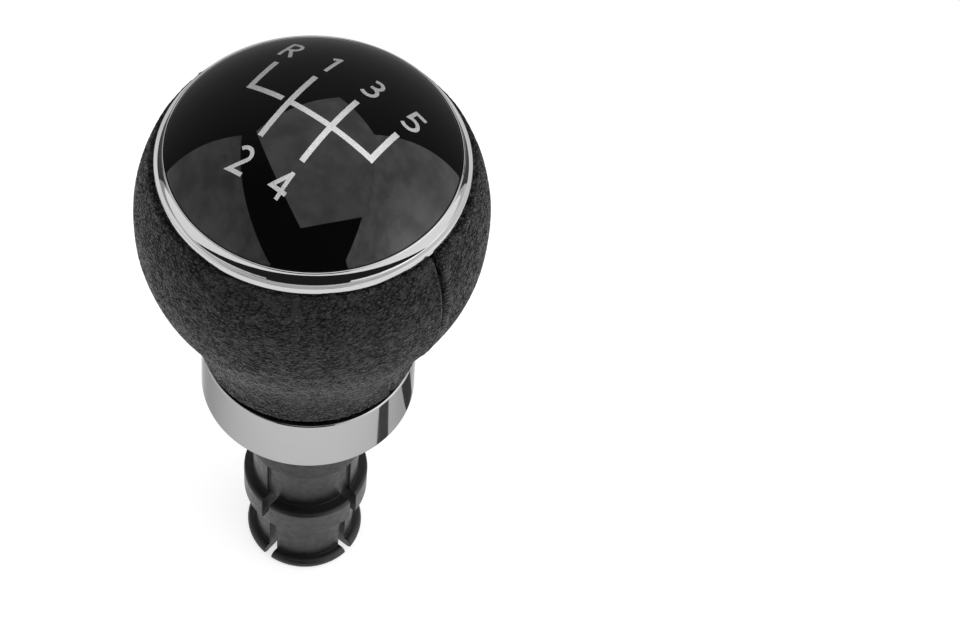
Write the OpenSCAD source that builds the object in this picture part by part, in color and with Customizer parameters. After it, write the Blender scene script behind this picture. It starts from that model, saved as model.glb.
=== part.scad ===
// Gear shift knob with a leather bulb, a domed shift-pattern cap and a split collet.
// The foot of the collet stands on Z = 0, the lever's bore runs up +Z, and +Y is the top of the pattern.

/* [Head] */
// Widest diameter of the leather bulb
head_d = 52.3; // [50:0.1:56]
// Height of the upright belt where the bulb is widest, between an upper and a lower ball
belt_h = 1.1; // [0.5:0.1:3]
// Height of the leather's top edge above the belt's middle
rim_rise = 12; // [10:0.1:13]
// Length of the straight flank under the lower ball
flank_len = 12.7; // [10:0.1:15]
// Radius of the hollow curve between flank and neck
neck_curve_r = 16; // [12:0.5:20]
// Height of the straight neck
neck_h = 3.6; // [3.4:0.1:6]
// Diameter of the leather neck
neck_d = 30.6; // [29:0.1:31.4]
// Thickness of the leather
leather_t = 1.1; // [0.8:0.05:1.4]
// How far the leather is turned in over the rim of the core
turn_in = 1.9; // [1:0.1:2.5]
// How far the leather is turned in under the neck
neck_turn_in = 3.4; // [2:0.1:3.8]

/* [Leather seams] */
// Depth of the seam allowance that is tucked into the core
seam_depth = 1.8; // [1:0.1:2.5]
// Space between the two panels at a seam
seam_gap = 0.2; // [0.1:0.05:0.4]
// Width of the crease that a seam leaves in the surface
crease_w = 1.0; // [0.6:0.1:1.6]
// Depth of the crease
crease_depth = 0.45; // [0.2:0.05:0.7]
// Turn of the two seams against the shift pattern, in degrees
seam_turn = -6.5; // [-20:0.5:20]

/* [Cap and trim ring] */
// How far the ring's outer edge lies inside the leather's edge
ring_step = 0.5; // [0:0.05:1]
// Width of the ring, seen from above
ring_w = 1.74; // [1.4:0.02:2]
// Width of the ring's flat outer flange
flange_w = 0.8; // [0.5:0.05:1]
// Thickness of the flange
flange_t = 0.9; // [0.6:0.05:1.2]
// Height of the ring's sloping band above the flange
ring_band_h = 1.9; // [1.4:0.05:2.6]
// Width of the rounded top edge of the ring
ring_edge = 0.34; // [0.2:0.02:0.5]
// Width of the ring's inner lip, which the cap holds down
ring_lip_w = 0.6; // [0.4:0.05:0.8]
// Thickness of the inner lip
ring_lip_t = 0.4; // [0.3:0.05:0.6]
// Height of the dome above its edge
cap_rise = 9.6; // [7:0.1:12]
// Wall of the cap
cap_t = 2; // [1.5:0.1:2.5]
// Diameter of the cap's posts
post_d = 3; // [2:0.1:4]
// Distance of the posts' middles from the inside of the plug's wall
post_in = 4.6; // [3.6:0.1:5.6]

/* [Cap carrier] */
// Thickness of the carrier's plate
carrier_t = 1.5; // [1.2:0.1:2]
// Height of the plug under the plate
plug_h = 3.7; // [3.2:0.1:4.5]
// Wall of the plug
plug_t = 1.6; // [1.2:0.1:2]
// Diameter of the boss that holds the weight down
boss_d = 9; // [6:0.5:12]
// How far the snap hooks stand out
hook_out = 0.6; // [0.3:0.05:0.8]
// Height of the snap hooks
hook_h = 1.2; // [0.8:0.1:1.6]
// Stretch of the plug's wall that a snap hook takes up, in degrees
hook_sweep = 24; // [16:1:30]

/* [Core and weight] */
// Wall of the core where it follows the bulb
core_wall = 3; // [2.4:0.1:3.4]
// Width of the rim between the leather's top edge and the pocket under the cap
rim_w = 4.2; // [3.9:0.1:5]
// Depth of the socket that takes the stem
socket_depth = 12; // [9:0.1:13]
// Thickness of the floor between socket and pocket
floor_t = 2.7; // [2:0.1:3.5]
// Number of ribs round the weight
rib_count = 8; // [6:1:10]
// Thickness of a rib
rib_t = 1.8; // [1.2:0.1:2.4]
// Diameter of the weight
weight_d = 23; // [18:0.1:23.4]
// Length of the weight
weight_h = 23; // [18:0.1:24]

/* [Lower collar] */
// Space between the leather neck and the collar's wall
neck_gap = 0.75; // [0.5:0.05:1.2]
// How much wider the collar's bottom edge is than its top edge, on each side
collar_flare = 0.2; // [0.1:0.05:0.8]
// Height of the collar
collar_h = 11.2; // [9.5:0.1:13]
// Wall of the collar
collar_wall = 0.9; // [0.7:0.05:1.1]
// Rounding of its top and bottom edges
collar_edge = 0.3; // [0.1:0.05:0.4]
// Depth of the gaiter's pocket under the web
pocket_depth = 6.5; // [5.5:0.1:7.5]
// Thickness of the web
web_t = 1.6; // [1.2:0.1:2]

/* [Stem] */
// Outer diameter of the stem
stem_d = 19.8; // [19.5:0.1:20.4]
// Length of the stem that shows under the collar
stem_show = 16.3; // [14:0.1:20]
// Height of the snap noses that hold the collar
nose_h = 1.6; // [1:0.1:2]
// How far the snap noses stand out
nose_out = 0.5; // [0.3:0.05:0.7]
// Stretch of the stem's wall that a snap nose takes up, in degrees
nose_sweep = 28; // [16:1:40]
// Wall of the stem's hollow top
stem_wall = 2.4; // [1.6:0.1:3]

/* [Collet] */
// Diameter of the lever's bore
bore_d = 12; // [10:0.1:12.6]
// Depth of the bore
bore_depth = 49; // [40:0.5:50]
// Diameter of the fingers, where the clamp sits
finger_d = 16.8; // [16:0.1:17]
// Diameter of the lip at the fingers' tips
lip_d = 19.9; // [18.5:0.1:21]
// Thickness of the lip
lip_t = 1.9; // [1.5:0.1:2.4]
// Length of the clamp's seat
seat_len = 11.4; // [8:0.1:13]
// How far the retaining band stands out past the stem's wall
band_out = 0.6; // [0.2:0.05:1.2]
// Height of the band
band_h = 5.6; // [4:0.1:7]
// Rounding of the band's upper edge
band_round = 0.6; // [0.2:0.05:1]
// Length of the hub between the band and the stem
hub_show = 10.9; // [8:0.1:14]
// Diameter of the hub
hub_d = 16.8; // [16.2:0.1:17]
// How far the hub's two keys stand out
key_out = 0.5; // [0.3:0.05:0.6]
// Stretch of the hub's wall that a key takes up, in degrees
key_sweep = 77; // [60:1:84]
// Height of the hub above the end of the bore
hub_over = 2; // [1.6:0.1:3]
// Width of the slots between the fingers
slot_w = 1.6; // [1:0.1:2.4]
// Length of the slots above the band
slot_over = 0.5; // [0:0.1:2]
// Turn of the collet against the shift pattern, in degrees
collet_turn = -3; // [-20:1:20]
// Width of a snap finger at the top of the hub
snap_w = 5; // [4:0.1:6]
// Height of its barb
barb_h = 1.6; // [1:0.1:2]
// How far its barb stands out
barb_out = 0.7; // [0.4:0.05:0.9]
// Length of a snap finger
snap_len = 9; // [7:0.5:12]
// Width of the slits round a snap finger
snap_slit = 0.9; // [0.6:0.1:1.2]

/* [Hidden] */
$fn = 96;

// Clearances: sliding pieces, and pieces that are pressed or clipped together
slide = 0.12;
snug = 0.06;
// Small edge break, overlap of cutting tools, and a size larger than the whole part
edge = 0.4;
cut = 0.1;
far = 120;
// How far the bulb's flank reaches into the arcs above and below it, so that they cross cleanly
bite = 0.01;
// Reach of the posts below the leather, wall over the collet, and the weight's and the bore's chamfers
post_over = 1;
stem_web_t = 3;
weight_chamfer = 1;
bore_lead = 0.8;
// Slits beside the carrier's hooks: width, and degrees from a hook's end
hook_slit = 1;
hook_slit_turn = 4;
// Facets of a large and of a small round outline
fine = 240;
small = 48;

// Heights from the foot up to the neck
z_band = lip_t + seat_len;
z_ledge = z_band + band_h;
z_stem = z_ledge + hub_show;
z_collar = z_stem + stem_show;
z_web = z_collar + pocket_depth;
z_neck = z_web + web_t;
z_core = z_neck + leather_t;
z_floor = z_core + socket_depth + floor_t;
z_hub_top = bore_depth + hub_over;

// Outline of the bulb: two balls with a belt between them, a straight flank that touches the
// lower ball and a hollow arc, and the neck. The flank's normal leans down by flank_lean.
head_r = head_d / 2;
neck_r = neck_d / 2;
curve_x = neck_r + neck_curve_r;
curve_z = z_neck + neck_h;
reach = head_r + neck_curve_r;
drop = sqrt(pow(reach, 2) + pow(flank_len, 2) - pow(curve_x, 2));
flank_lean = atan2(drop, curve_x) - atan2(flank_len, reach);
toward = [cos(flank_lean), -sin(flank_lean)];
z_lower = curve_z + drop;
z_upper = z_lower + belt_h;

// Heights from the belt up
z_rim = z_lower + belt_h / 2 + rim_rise;
z_flange = z_rim + flange_t;
z_cap = z_flange + ring_band_h;
z_core_top = z_rim - leather_t;
z_plug = z_core_top - plug_h;
z_lip = z_rim + ring_lip_t;

// Radii of ring, cap and carrier
rim_r = sqrt(pow(head_r, 2) - pow(z_rim - z_upper, 2));
ring_r = rim_r - ring_step;
ring_in_r = ring_r - ring_w;
cap_r = ring_in_r - snug;
dome_r = (pow(cap_r, 2) + pow(cap_rise, 2)) / (2 * cap_rise);
z_dome = z_cap + cap_rise - dome_r;
pocket_r = rim_r - rim_w;
plug_r = pocket_r - slide;
post_at = plug_r - plug_t - post_in;
z_hook = z_plug + edge;
weight_r = weight_d / 2;

// Radii of collar, stem and collet
collar_in_r = neck_r + neck_gap;
collar_top_r = collar_in_r + collar_wall;
collar_low_r = collar_top_r + collar_flare;
stem_r = stem_d / 2;
band_r = stem_r + band_out;
bore_r = bore_d / 2;
hub_r = hub_d / 2;
key_r = hub_r + key_out;
z_barb = z_hub_top - barb_h - edge;
z_stem_shelf = z_hub_top + slide;
z_stem_top = z_core + socket_depth - slide;
z_stem_barb = z_core + socket_depth / 2;
z_slit = z_hub_top - snap_len;

// Posts, noses and snap fingers stand between the axes, hooks on them
between = 45;
snap_turns = [-between, 180 - between];

// The bulb's half section, moved in by inset, between two heights
module bulb_section(inset, z0, z1) {
    flank_top = [0, z_lower] + toward * (head_r - inset - bite);
    flank_end = [curve_x, curve_z] - toward * (neck_curve_r + inset - bite);
    intersection() {
        translate([0, z0]) square([far, z1 - z0]);
        union() {
            intersection() {
                translate([0, z_upper]) circle(head_r - inset, $fn = fine);
                translate([0, z_upper]) square([far, far]);
            }
            translate([0, z_lower]) square([head_r - inset, belt_h]);
            intersection() {
                translate([0, z_lower]) circle(head_r - inset, $fn = fine);
                translate([0, z_lower - head_r]) square([far, head_r]);
            }
            difference() {
                polygon([[0, curve_z], [curve_x, curve_z], flank_end, flank_top, [0, z_lower]]);
                translate([curve_x, curve_z]) circle(neck_curve_r + inset, $fn = fine);
            }
            square([neck_r - inset, curve_z]);
        }
    }
}

// A ring with a square section
module band(r_out, r_in, z0, z1) {
    difference() {
        translate([0, 0, z0]) cylinder(r = r_out, h = z1 - z0);
        translate([0, 0, z0 - cut]) cylinder(r = r_in, h = z1 - z0 + 2 * cut);
    }
}

// Part of such a ring, between two angles
module band_arc(r_out, r_in, z0, z1, from, sweep) {
    rotate(from) rotate_extrude(angle = sweep)
        translate([r_in, z0]) square([r_out - r_in, z1 - z0]);
}

// Copies a child to both ends of the X axis
module both_sides() {
    children();
    rotate(180) children();
}

// A flat strip that stands on the +X meridian, between two insets of the bulb
module meridian_strip(inset_out, inset_in, z0, z1, t) {
    rotate([90, 0, 0]) linear_extrude(t, center = true) difference() {
        bulb_section(inset_out, z0, z1);
        bulb_section(inset_in, z0 - cut, z1 + cut);
    }
}

module leather_section() {
    difference() {
        bulb_section(0, z_neck, z_rim);
        bulb_section(leather_t, z_core, z_core_top);
        translate([0, z_core_top - cut]) square([rim_r - turn_in, leather_t + 2 * cut]);
        translate([0, z_neck - cut]) square([neck_r - neck_turn_in, leather_t + 2 * cut]);
    }
}

// One panel on the +Y side, with its edges tucked in at the two seams
module leather_panel() {
    difference() {
        intersection() {
            rotate_extrude($fn = fine) leather_section();
            translate([-far / 2, seam_gap / 2, 0]) cube([far, far, 2 * far]);
        }
        both_sides() meridian_strip(-cut, crease_depth, z_neck - cut, z_rim + cut, crease_w);
    }
    for (side = [0, 1]) mirror([side, 0, 0]) translate([0, (seam_gap + leather_t) / 2, 0])
        meridian_strip(
            leather_t - cut, leather_t + seam_depth, z_core + edge, z_core_top - edge, leather_t
        );
}

module leather_rear() {
    color([0.09, 0.09, 0.09]) rotate(seam_turn) leather_panel();
}

module leather_front() {
    color([0.10, 0.10, 0.10]) rotate(seam_turn + 180) leather_panel();
}

module pattern_cap() {
    color([0.03, 0.03, 0.03]) {
        rotate_extrude($fn = fine) {
            intersection() {
                difference() {
                    translate([0, z_dome]) circle(dome_r, $fn = fine);
                    translate([0, z_dome]) circle(dome_r - cap_t, $fn = fine);
                }
                translate([0, z_cap]) square([far, far]);
            }
            translate([cap_r - cap_t, z_lip]) square([cap_t, z_cap - z_lip + cut / 2]);
        }
        for (i = [0:3]) rotate(between + 90 * i) intersection() {
            translate([post_at, 0, z_core_top - post_over]) cylinder(d = post_d, h = far, $fn = small);
            translate([0, 0, z_dome]) sphere(dome_r - cap_t / 2, $fn = fine);
        }
    }
}

module top_ring() {
    half = flange_t / 2;
    foot_r = ring_r - flange_w;
    top_r = ring_in_r + ring_edge;
    color([0.80, 0.80, 0.82]) rotate_extrude($fn = fine) {
        translate([ring_in_r, z_rim]) square([ring_w - half, flange_t]);
        translate([ring_r - half, z_rim + half]) circle(half, $fn = small);
        polygon([
            [ring_in_r, z_rim], [foot_r, z_rim], [foot_r, z_flange],
            [top_r, z_cap - ring_edge / 2], [ring_in_r, z_cap - ring_edge / 2]
        ]);
        intersection() {
            translate([ring_in_r + ring_edge / 2, z_cap - ring_edge / 2])
                circle(ring_edge / 2, $fn = small);
            translate([ring_in_r, z_cap - ring_edge]) square([ring_edge, ring_edge]);
        }
        translate([ring_in_r - ring_lip_w, z_rim]) square([ring_lip_w + cut, ring_lip_t]);
    }
}

module cap_carrier() {
    color([0.16, 0.16, 0.17]) difference() {
        union() {
            translate([0, 0, z_rim - carrier_t]) cylinder(r = plug_r, h = carrier_t);
            band(cap_r, plug_r - cut, z_core_top, z_rim);
            band(plug_r, plug_r - plug_t, z_plug, z_core_top);
            translate([0, 0, z_floor + weight_h + slide])
                cylinder(d = boss_d, h = z_rim - cut - z_floor - weight_h - slide);
            for (i = [0:3]) rotate(90 * i - hook_sweep / 2)
                band_arc(plug_r + hook_out, plug_r - cut, z_hook, z_hook + hook_h, 0, hook_sweep);
        }
        for (i = [0:3]) rotate(between + 90 * i) translate([post_at, 0, z_plug - cut])
            cylinder(r = post_d / 2 + snug, h = far, $fn = small);
        // Slits that let the plug's wall flex beside each hook
        for (i = [0:3], side = [-1, 1]) rotate(90 * i + (hook_sweep / 2 + hook_slit_turn) * side)
            translate([plug_r - plug_t - hook_out, -hook_slit / 2, z_plug - cut])
                cube([plug_t + 2 * hook_out, hook_slit, plug_h - 2 * edge]);
    }
}

// The pocket under the cap, with the ribs left standing round the weight
module core_pocket() {
    difference() {
        rotate_extrude($fn = fine) intersection() {
            bulb_section(leather_t + core_wall, z_floor, far * 2);
            translate([0, z_floor]) square([pocket_r, far]);
        }
        for (i = [0:rib_count - 1]) rotate(360 / rib_count * (i + 0.5))
            translate([weight_r + slide, -rib_t / 2, z_floor - cut])
                cube([pocket_r, rib_t, z_plug - slide - z_floor + cut]);
    }
}

module core() {
    color([0.22, 0.22, 0.23]) difference() {
        rotate_extrude($fn = fine) bulb_section(leather_t, z_core, z_core_top);
        core_pocket();
        // Socket for the stem, and the groove that its barb snaps into
        translate([0, 0, z_core - cut]) cylinder(r = stem_r + snug, h = socket_depth + cut);
        band(stem_r + nose_out + slide, stem_r, z_stem_barb - slide, z_stem_barb + nose_h + slide);
        // Groove for the carrier's hooks
        band(pocket_r + hook_out, pocket_r - cut, z_hook - slide, z_hook + hook_h + slide);
        // Grooves for the leather's tucked edges
        rotate(seam_turn) both_sides() meridian_strip(
            leather_t - cut, leather_t + seam_depth + slide, z_core, z_core_top,
            2 * leather_t + seam_gap + 2 * slide
        );
    }
}

module weight() {
    c = weight_chamfer;
    color([0.62, 0.62, 0.64]) translate([0, 0, z_floor]) rotate_extrude() polygon([
        [0, 0], [weight_r - c, 0], [weight_r, c],
        [weight_r, weight_h - c], [weight_r - c, weight_h], [0, weight_h]
    ]);
}

module lower_collar() {
    z_top = z_collar + collar_h;
    e = collar_edge;
    color([0.80, 0.80, 0.82]) rotate_extrude($fn = fine) difference() {
        polygon([
            [stem_r + slide, z_collar], [collar_low_r - e, z_collar], [collar_low_r, z_collar + e],
            [collar_top_r, z_top - e], [collar_top_r - e, z_top], [stem_r + slide, z_top]
        ]);
        translate([0, z_collar - cut]) square([collar_in_r, pocket_depth + cut]);
        translate([0, z_neck]) square([collar_in_r, far]);
    }
}

module stem() {
    key_gap = 2 * asin(slide / key_r);
    z_nose = z_web - slide;
    color([0.06, 0.06, 0.06]) rotate(collet_turn) difference() {
        union() {
            rotate_extrude() polygon([
                [0, z_stem], [stem_r - edge, z_stem], [stem_r, z_stem + edge],
                [stem_r, z_stem_top - edge], [stem_r - edge, z_stem_top], [0, z_stem_top]
            ]);
            // Four noses under the collar's web
            for (i = [0:3]) rotate(between + 90 * i - nose_sweep / 2)
                band_arc(stem_r + nose_out, stem_r - edge, z_nose - nose_h, z_nose, 0, nose_sweep);
            // Barb that holds the stem in the core
            band(stem_r + nose_out, stem_r - edge, z_stem_barb, z_stem_barb + nose_h);
        }
        translate([0, 0, z_stem - cut]) cylinder(r = hub_r + slide, h = z_stem_shelf - z_stem + cut);
        both_sides() rotate(between - key_sweep / 2 - key_gap)
            band_arc(key_r + slide, hub_r - cut, z_stem - cut, z_stem_shelf, 0, key_sweep + 2 * key_gap);
        // Windows for the collet's snap fingers
        for (a = snap_turns) rotate(a) translate([hub_r - barb_out, -snap_w / 2 - slide, z_barb - slide])
            cube([stem_r - hub_r + 2 * barb_out, snap_w + 2 * slide, barb_h + 2 * slide]);
        // Hollow top, closed over the collet by a thick web
        translate([0, 0, z_stem_shelf + stem_web_t]) cylinder(r = stem_r - stem_wall, h = far);
    }
}

module collet_section() {
    half = lip_t / 2;
    finger_r = finger_d / 2;
    square([lip_d / 2 - half, lip_t]);
    translate([lip_d / 2 - half, half]) circle(half, $fn = small);
    square([finger_r, z_band + cut]);
    polygon([
        [0, z_band], [band_r - edge, z_band], [band_r, z_band + edge],
        [band_r, z_ledge - band_round], [0, z_ledge - band_round]
    ]);
    translate([0, z_ledge - band_round - cut]) square([band_r - band_round, band_round + cut]);
    intersection() {
        translate([band_r - band_round, z_ledge - band_round]) circle(band_round, $fn = small);
        translate([0, z_ledge - band_round]) square([band_r, band_round]);
    }
    polygon([
        [0, z_ledge - cut], [hub_r, z_ledge - cut], [hub_r, z_hub_top - edge],
        [hub_r - edge, z_hub_top], [0, z_hub_top]
    ]);
}

module collet() {
    key_top = z_hub_top - 2 * edge;
    lead = bore_lead;
    root_r = hub_r - barb_out;
    color([0.05, 0.05, 0.05]) rotate(collet_turn) difference() {
        union() {
            rotate_extrude() collet_section();
            both_sides() rotate(between - key_sweep / 2)
                band_arc(key_r, root_r, z_ledge - cut, key_top, 0, key_sweep);
            // Barbs of the two snap fingers, with a lead-in slope
            for (a = snap_turns) rotate(a) translate([0, snap_w / 2, 0]) rotate([90, 0, 0])
                linear_extrude(snap_w) polygon([
                    [root_r, z_barb], [hub_r + barb_out, z_barb], [hub_r + barb_out, z_barb + edge],
                    [hub_r - edge / 2, z_barb + barb_h], [root_r, z_barb + barb_h]
                ]);
        }
        translate([0, 0, -cut]) cylinder(r = bore_r, h = bore_depth + cut);
        translate([0, 0, -cut]) cylinder(r1 = bore_r + lead + cut, r2 = bore_r, h = lead + cut);
        // Four slots that part the fingers
        for (i = [0:1]) rotate(90 * i)
            translate([-far / 2, -slot_w / 2, -cut]) cube([far, slot_w, z_ledge + slot_over + cut]);
        // Slits beside each snap finger, and behind it in the hub's end wall
        for (a = snap_turns) rotate(a) translate([bore_r - snap_slit, 0, 0]) {
            for (side = [-1, 1]) translate([0, (side * (snap_w + snap_slit) - snap_slit) / 2, z_slit])
                cube([key_r - bore_r + snap_slit + cut, snap_slit, snap_len + cut]);
            translate([0, -(snap_w + snap_slit) / 2, bore_depth - cut])
                cube([snap_slit, snap_w + snap_slit, hub_over + 2 * cut]);
        }
    }
}

pattern_cap();
top_ring();
cap_carrier();
leather_front();
leather_rear();
core();
weight();
lower_collar();
stem();
collet();
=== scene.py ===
"""Gear shift knob: grained leather bulb, gloss cap with its pattern, chrome trim and a moulded collet."""
import math

import bpy
import numpy as np
from mathutils import Matrix, Vector, noise


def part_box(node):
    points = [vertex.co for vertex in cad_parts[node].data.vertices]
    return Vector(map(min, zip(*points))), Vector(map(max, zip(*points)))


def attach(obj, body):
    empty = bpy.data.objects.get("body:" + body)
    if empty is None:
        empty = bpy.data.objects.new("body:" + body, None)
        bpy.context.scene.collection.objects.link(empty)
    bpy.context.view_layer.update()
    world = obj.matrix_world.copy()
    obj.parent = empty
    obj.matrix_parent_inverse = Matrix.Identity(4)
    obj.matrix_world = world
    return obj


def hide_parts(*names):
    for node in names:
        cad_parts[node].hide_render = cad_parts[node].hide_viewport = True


MM = 0.001
FULL_TURN = 2 * math.pi

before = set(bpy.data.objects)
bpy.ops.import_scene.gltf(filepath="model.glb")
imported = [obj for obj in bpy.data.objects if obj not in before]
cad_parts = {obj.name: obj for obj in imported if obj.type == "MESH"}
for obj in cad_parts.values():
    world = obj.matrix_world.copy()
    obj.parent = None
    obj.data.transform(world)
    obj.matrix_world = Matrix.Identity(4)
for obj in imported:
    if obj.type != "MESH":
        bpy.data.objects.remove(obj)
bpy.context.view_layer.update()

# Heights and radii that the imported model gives
LEATHER_LOW, LEATHER_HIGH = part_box("leather_rear")
COLLAR_LOW, COLLAR_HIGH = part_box("lower_collar")
RING_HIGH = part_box("top_ring")[1]
CAP_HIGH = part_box("pattern_cap")[1]
Z_NECK = LEATHER_LOW.z
Z_RIM = LEATHER_HIGH.z
HEAD_R = LEATHER_HIGH.x
RING_R = RING_HIGH.x
Z_CAP = RING_HIGH.z
Z_TOP = CAP_HIGH.z
Z_COLLAR = COLLAR_LOW.z
Z_COLLAR_TOP = COLLAR_HIGH.z
COLLAR_LOW_R = COLLAR_HIGH.x

# Outline of the bulb
BELT_H = 1.1 * MM
RIM_RISE = 12 * MM
FLANK_LEN = 12.7 * MM
NECK_CURVE_R = 16 * MM
NECK_H = 3.6 * MM
NECK_R = 15.3 * MM
LEATHER_T = 1.1 * MM
TURN_IN = 1.9 * MM
NECK_TURN_IN = 3.4 * MM
Z_UPPER = Z_RIM - RIM_RISE + BELT_H / 2
Z_LOWER = Z_UPPER - BELT_H
CURVE_X = NECK_R + NECK_CURVE_R
CURVE_Z = Z_NECK + NECK_H
FLANK_LEAN = math.atan2(Z_LOWER - CURVE_Z, CURVE_X) - math.atan2(FLANK_LEN, HEAD_R + NECK_CURVE_R)
FLANK_TOP_Z = Z_LOWER - HEAD_R * math.sin(FLANK_LEAN)
FLANK_END_Z = CURVE_Z + NECK_CURVE_R * math.sin(FLANK_LEAN)
FLANK_TOP_R = HEAD_R * math.cos(FLANK_LEAN)

# Full lower edge of the leather, which stands out over the collar, and the slight swelling above it
LIP_R = 17.35 * MM
LIP_CURVE_R = 20 * MM
LIP_Z = 59.2 * MM
LIP_ROUND = 0.5 * MM
LIP_TOUCH_R = LIP_R + LIP_CURVE_R * (1 - math.cos(FLANK_LEAN))
LIP_TOUCH_Z = FLANK_TOP_Z - (FLANK_TOP_R - LIP_TOUCH_R) / math.tan(FLANK_LEAN)
LIP_CURVE_Z = LIP_TOUCH_Z - LIP_CURVE_R * math.sin(FLANK_LEAN)
FULLNESS = 0.35 * MM
FULL_AT = 68 * MM
FULL_SPREAD = 6.5 * MM

# Trim ring
RING_W = 1.74 * MM
RING_EDGE = 0.34 * MM
RING_HOLLOW = 0.08 * MM
RING_IN_R = RING_R - RING_W
FLANGE_W = 0.8 * MM
FLANGE_T = 0.9 * MM
FLANGE_EDGE = 0.08 * MM
FLANGE_TAPER = 0.2 * MM

# Cap: its wall ends a little above the leather's rim, and its dome stops just short of the axis
# and of its own rim, at angles in degrees
CAP_GAP = 0.06 * MM
CAP_T = 2 * MM
CAP_EDGE = 0.12 * MM
CAP_SEAT = 0.4 * MM
CAP_WALL_Z = Z_RIM + CAP_SEAT
CAP_R = RING_IN_R - CAP_GAP
CAP_RISE = Z_TOP - Z_CAP
DOME_R = (CAP_R ** 2 + CAP_RISE ** 2) / (2 * CAP_RISE)
DOME_Z = Z_TOP - DOME_R
DOME_APEX = 89.9
DOME_EDGE = 0.35

# Lower collar
COLLAR_WALL = 0.9 * MM
COLLAR_EDGE = 0.3 * MM
COLLAR_FLARE = 0.2 * MM
COLLAR_IN_R = COLLAR_LOW_R - COLLAR_FLARE - COLLAR_WALL
COLLAR_HOLE_R = 10.02 * MM
WEB_T = 1.6 * MM
Z_WEB = Z_NECK - WEB_T

# The photograph's camera, in a frame turned with it: x right, y away, z up.
# AXIS_PX is the column of its frame at which the knob's axis stands.
VIEW_TURN = math.radians(36.1)
PITCH = math.radians(55.31)
ROLL = math.radians(1.42)
CAMERA_AT = Vector((0.1, -221.5, 382.3)) * MM
FOCAL_PX = 2500
FRAME_PX = 960
AXIS_PX = 310
SENSOR = 36


def turned(x, y, z=0.0):
    """A point of the camera's frame, in the knob's own frame."""
    c, s = math.cos(VIEW_TURN), math.sin(VIEW_TURN)
    return Vector((x * c - y * s, x * s + y * c, z))


def add_camera():
    right = turned(1, 0)
    ahead = turned(0, math.cos(PITCH), -math.sin(PITCH))
    up = right.cross(ahead)
    side = right * math.cos(ROLL) + up * math.sin(ROLL)
    top = up * math.cos(ROLL) - right * math.sin(ROLL)
    data = bpy.data.cameras.new("camera")
    data.sensor_fit = "HORIZONTAL"
    data.sensor_width = SENSOR
    data.lens = FOCAL_PX / FRAME_PX * SENSOR
    data.shift_x = (FRAME_PX / 2 - AXIS_PX) / FRAME_PX
    data.clip_start = 0.01
    camera = bpy.data.objects.new("camera", data)
    axes = Matrix((side, top, -ahead)).transposed().to_4x4()
    camera.matrix_world = Matrix.Translation(turned(*CAMERA_AT)) @ axes
    bpy.context.scene.collection.objects.link(camera)
    bpy.context.scene.camera = camera


# Small node helpers

WHITE = (1, 1, 1, 1)


class Nodes:
    """Adds and links the nodes of one material or of the world."""

    def __init__(self, tree):
        self.tree = tree
        tree.nodes.clear()

    def add(self, kind, links=None, **values):
        node = self.tree.nodes.new(kind)
        for name, value in values.items():
            setattr(node, name, value)
        for socket, value in (links or {}).items():
            if isinstance(value, bpy.types.NodeSocket):
                self.tree.links.new(value, node.inputs[socket])
            else:
                node.inputs[socket].default_value = value
        return node

    def object_point(self, stretch=(1, 1, 1)):
        point = self.add("ShaderNodeTexCoord").outputs["Object"]
        return self.add("ShaderNodeMapping", {"Vector": point, "Scale": stretch}).outputs[0]

    def math(self, operation, a, b=0.0):
        return self.add("ShaderNodeMath", {0: a, 1: b}, operation=operation).outputs[0]

    def spread(self, value, given, wanted):
        """Carries a value smoothly from a given range over to a wanted one, and holds it at the ends."""
        links = {"Value": value, "From Min": given[0], "From Max": given[1]}
        links.update({"To Min": wanted[0], "To Max": wanted[1]})
        return self.add("ShaderNodeMapRange", links, interpolation_type="SMOOTHSTEP").outputs[0]

    def noise(self, point, scale, detail=3.0, roughness=0.5, output="Fac"):
        links = {"Vector": point, "Scale": scale, "Detail": detail, "Roughness": roughness}
        return self.add("ShaderNodeTexNoise", links).outputs[output]

    def cells(self, point, scale, feature="F1"):
        links = {"Vector": point, "Scale": scale}
        return self.add("ShaderNodeTexVoronoi", links, feature=feature).outputs["Distance"]

    def mix_colour(self, factor, a, b):
        node = self.add("ShaderNodeMix", {0: factor}, data_type="RGBA")
        node.inputs[6].default_value = (*a, 1)
        node.inputs[7].default_value = (*b, 1)
        return node.outputs[2]

    def mix_point(self, factor, a, b):
        return self.add("ShaderNodeMix", {0: factor, 4: a, 5: b}, data_type="VECTOR").outputs[1]

    def bump(self, height, distance, strength=1.0, normal=None):
        links = {"Height": height, "Distance": distance, "Strength": strength}
        if normal:
            links["Normal"] = normal
        return self.add("ShaderNodeBump", links).outputs[0]

    def emission(self, strength):
        return self.add("ShaderNodeEmission", {"Color": WHITE, "Strength": strength}).outputs[0]

    def output(self, shader, kind="ShaderNodeOutputMaterial"):
        self.add(kind, {"Surface": shader})

    def principled(self, links):
        self.output(self.add("ShaderNodeBsdfPrincipled", links).outputs[0])


def new_material(name):
    material = bpy.data.materials.new(name)
    material.use_nodes = True
    return material, Nodes(material.node_tree)


def grey(level):
    return (level, level, level)


# Materials: a scale counts noise waves or cells per metre

# Where most values of a noise lie
NOISE_RANGE = (0.3, 0.7)
# Height of the faint waves in the surface of the hard materials
WAVE_H = 0.01 * MM
# Radius with which moulded plastic rounds its corners
PLASTIC_BEVEL = 0.12 * MM
# How much the chrome's level changes from patch to patch, and how much rougher it gets
CHROME_CHANGE = 0.02
CHROME_WEAR = 0.03

# Leather: scales of the pebbles, of the smaller grain on them and of the pores, then how much wider
# than high a pebble is, and how high pebbles and pores stand
PEBBLE_SCALE = 1150.0
GRAIN_SCALE = 2300.0
PORE_SCALE = 5200.0
PEBBLE_WIDTH = 1.8
PEBBLE_H = 0.28 * MM
PORE_H = 0.02 * MM
# How far the pebbles are shifted at random, in metres, and the scale of that
DRIFT = 0.9 * MM
DRIFT_SCALE = 1100.0
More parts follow.
